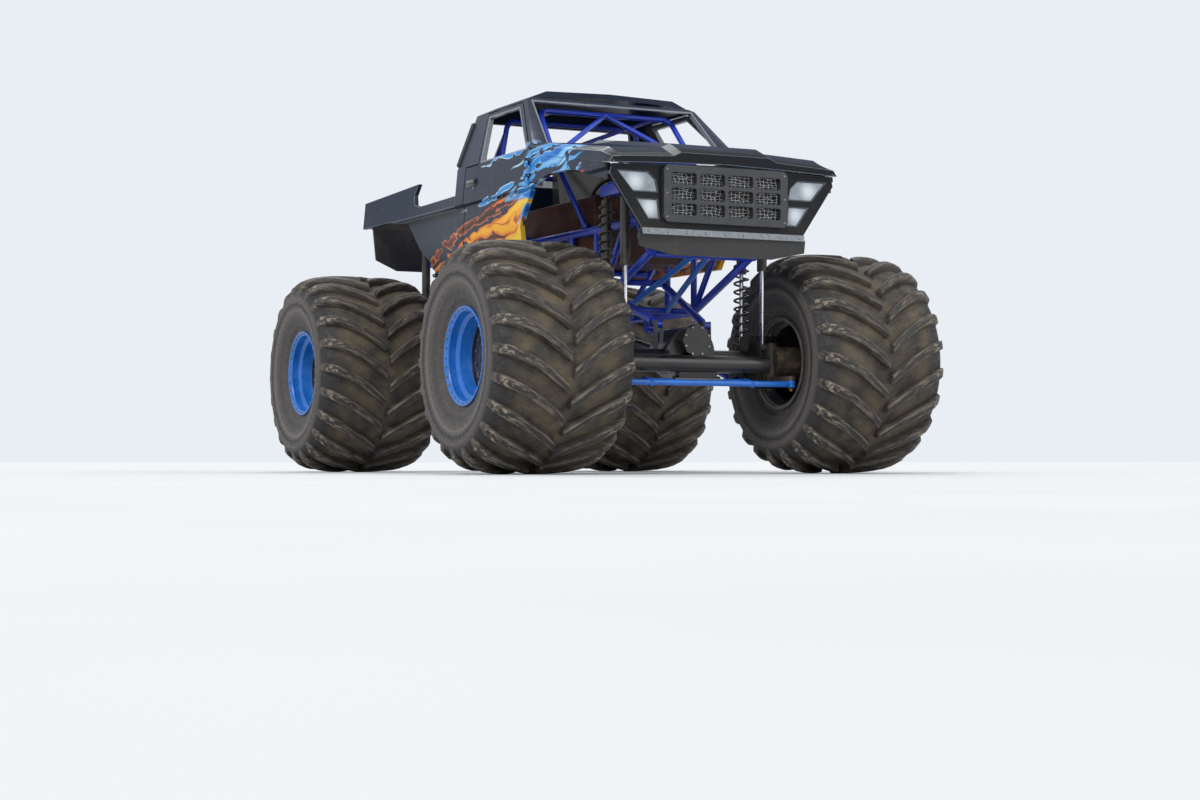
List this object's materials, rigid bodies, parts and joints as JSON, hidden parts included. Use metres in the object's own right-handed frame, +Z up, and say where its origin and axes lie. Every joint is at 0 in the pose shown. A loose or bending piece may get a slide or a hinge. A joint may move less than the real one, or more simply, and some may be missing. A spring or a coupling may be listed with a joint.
{
  "type": "monster truck",
  "caption": "Pickup shell on a blue tube chassis with four steered wheels, deep lugged flotation tyres, long shocks, a roll cage, opening doors and a mid engine.",
  "frame": {"origin": "on the ground, midway between the axles on the centre line", "axes": "+X forward, +Y to the truck's left, +Z up"},
  "size_m": [5.176, 3.7, 3.005],
  "materials": {
    "shell_paint": "charcoal fibreglass shell with painted flames",
    "frame_blue": "royal blue enamel on tube",
    "wheel_blue": "bright blue enamel on the wheels",
    "stay_blue": "bright blue enamel on the stays",
    "axle_black": "satin black paint on cast and welded steel",
    "chrome": "polished shafts",
    "spring_black": "black powder coat",
    "tyre": "flotation tyre with tan dust",
    "tub_brown": "brown sheet metal",
    "seat_black": "moulded seat with black cover",
    "engine_iron": "painted block",
    "polished": "polished castings",
    "header_steel": "heat tinted pipes",
    "cell_red": "moulded red tank",
    "trim_dark": "dark grey frame",
    "lamp": "printed lamp faces"
  },
  "bodies": {
    "chassis": {"cab_shell": "shell_paint", "hood": "shell_paint", "front_fenders": "shell_paint", "front_panel": "shell_paint", "front_valance": "shell_paint", "grille": "trim_dark", "headlamps": "lamp", "bed_sides": "shell_paint", "bed_rear_panels": "shell_paint", "frame_side_left": "frame_blue", "frame_side_right": "frame_blue", "frame_cross_tubes": "frame_blue", "frame_stays": "stay_blue", "roll_cage": "frame_blue", "footwell_tub": "tub_brown", "seat": "seat_black", "steering_wheel": "axle_black", "engine": "engine_iron", "supercharger": "polished", "exhaust_headers": "header_steel", "transfer_case": "polished", "fuel_cell": "cell_red", "axle_front": "axle_black", "axle_rear": "axle_black", "suspension_links": "frame_blue", "shocks_front": "chrome", "shocks_rear": "chrome", "springs": "spring_black", "driveshafts": "axle_black"},
    "door_left": {"door_left": "shell_paint"},
    "door_right": {"door_right": "shell_paint"},
    "tie_rod_front": {"tie_rod_front": "frame_blue"},
    "tie_rod_rear": {"tie_rod_rear": "frame_blue"},
    "wheel_fl": {"tyre_fl": "tyre", "wheel_fl": "wheel_blue"},
    "knuckle_fl": {"knuckle_fl": "axle_black"},
    "wheel_fr": {"tyre_fr": "tyre", "wheel_fr": "wheel_blue"},
    "knuckle_fr": {"knuckle_fr": "axle_black"},
    "wheel_rl": {"tyre_rl": "tyre", "wheel_rl": "wheel_blue"},
    "knuckle_rl": {"knuckle_rl": "axle_black"},
    "wheel_rr": {"tyre_rr": "tyre", "wheel_rr": "wheel_blue"},
    "knuckle_rr": {"knuckle_rr": "axle_black"}
  },
  "joints": [
    {"name": "steer_fl", "type": "hinge", "parent": "chassis", "child": "knuckle_fl", "pos_m": [1.75, 0.75, 0.838], "axis": [0, 0, 1], "range_deg": [-22, 22]},
    {"name": "spin_fl", "type": "hinge", "parent": "knuckle_fl", "child": "wheel_fl", "pos_m": [1.75, 1.3, 0.838], "axis": [0, 1, 0], "continuous": true},
    {"name": "steer_fr", "type": "hinge", "parent": "chassis", "child": "knuckle_fr", "pos_m": [1.75, -0.75, 0.838], "axis": [0, 0, 1], "range_deg": [-22, 22]},
    {"name": "spin_fr", "type": "hinge", "parent": "knuckle_fr", "child": "wheel_fr", "pos_m": [1.75, -1.3, 0.838], "axis": [0, 1, 0], "continuous": true},
    {"name": "steer_rl", "type": "hinge", "parent": "chassis", "child": "knuckle_rl", "pos_m": [-1.75, 0.75, 0.838], "axis": [0, 0, 1], "range_deg": [-15, 15]},
    {"name": "spin_rl", "type": "hinge", "parent": "knuckle_rl", "child": "wheel_rl", "pos_m": [-1.75, 1.3, 0.838], "axis": [0, 1, 0], "continuous": true},
    {"name": "steer_rr", "type": "hinge", "parent": "chassis", "child": "knuckle_rr", "pos_m": [-1.75, -0.75, 0.838], "axis": [0, 0, 1], "range_deg": [-15, 15]},
    {"name": "spin_rr", "type": "hinge", "parent": "knuckle_rr", "child": "wheel_rr", "pos_m": [-1.75, -1.3, 0.838], "axis": [0, 1, 0], "continuous": true},
    {"name": "tie_rod_front_slide", "type": "slide", "parent": "chassis", "child": "tie_rod_front", "axis": [0, 1, 0], "range_m": [-0.113, 0.113]},
    {"name": "tie_rod_rear_slide", "type": "slide", "parent": "chassis", "child": "tie_rod_rear", "axis": [0, 1, 0], "range_m": [-0.0782, 0.0782]},
    {"name": "door_left_hinge", "type": "hinge", "parent": "chassis", "child": "door_left", "pos_m": [1.035, 0.957, 2.285], "axis": [0, 0, -1], "range_deg": [0, 60]},
    {"name": "door_right_hinge", "type": "hinge", "parent": "chassis", "child": "door_right", "pos_m": [1.035, -0.957, 2.285], "axis": [0, 0, 1], "range_deg": [0, 60]}
  ],
  "couplings": [
    {"joint": "steer_fr", "follows": "steer_fl", "ratio": 1},
    {"joint": "tie_rod_front_slide", "follows": "steer_fl", "m_per_rad": 0.29268},
    {"joint": "steer_rr", "follows": "steer_rl", "ratio": 1},
    {"joint": "tie_rod_rear_slide", "follows": "steer_rl", "m_per_rad": -0.29658}
  ]
}
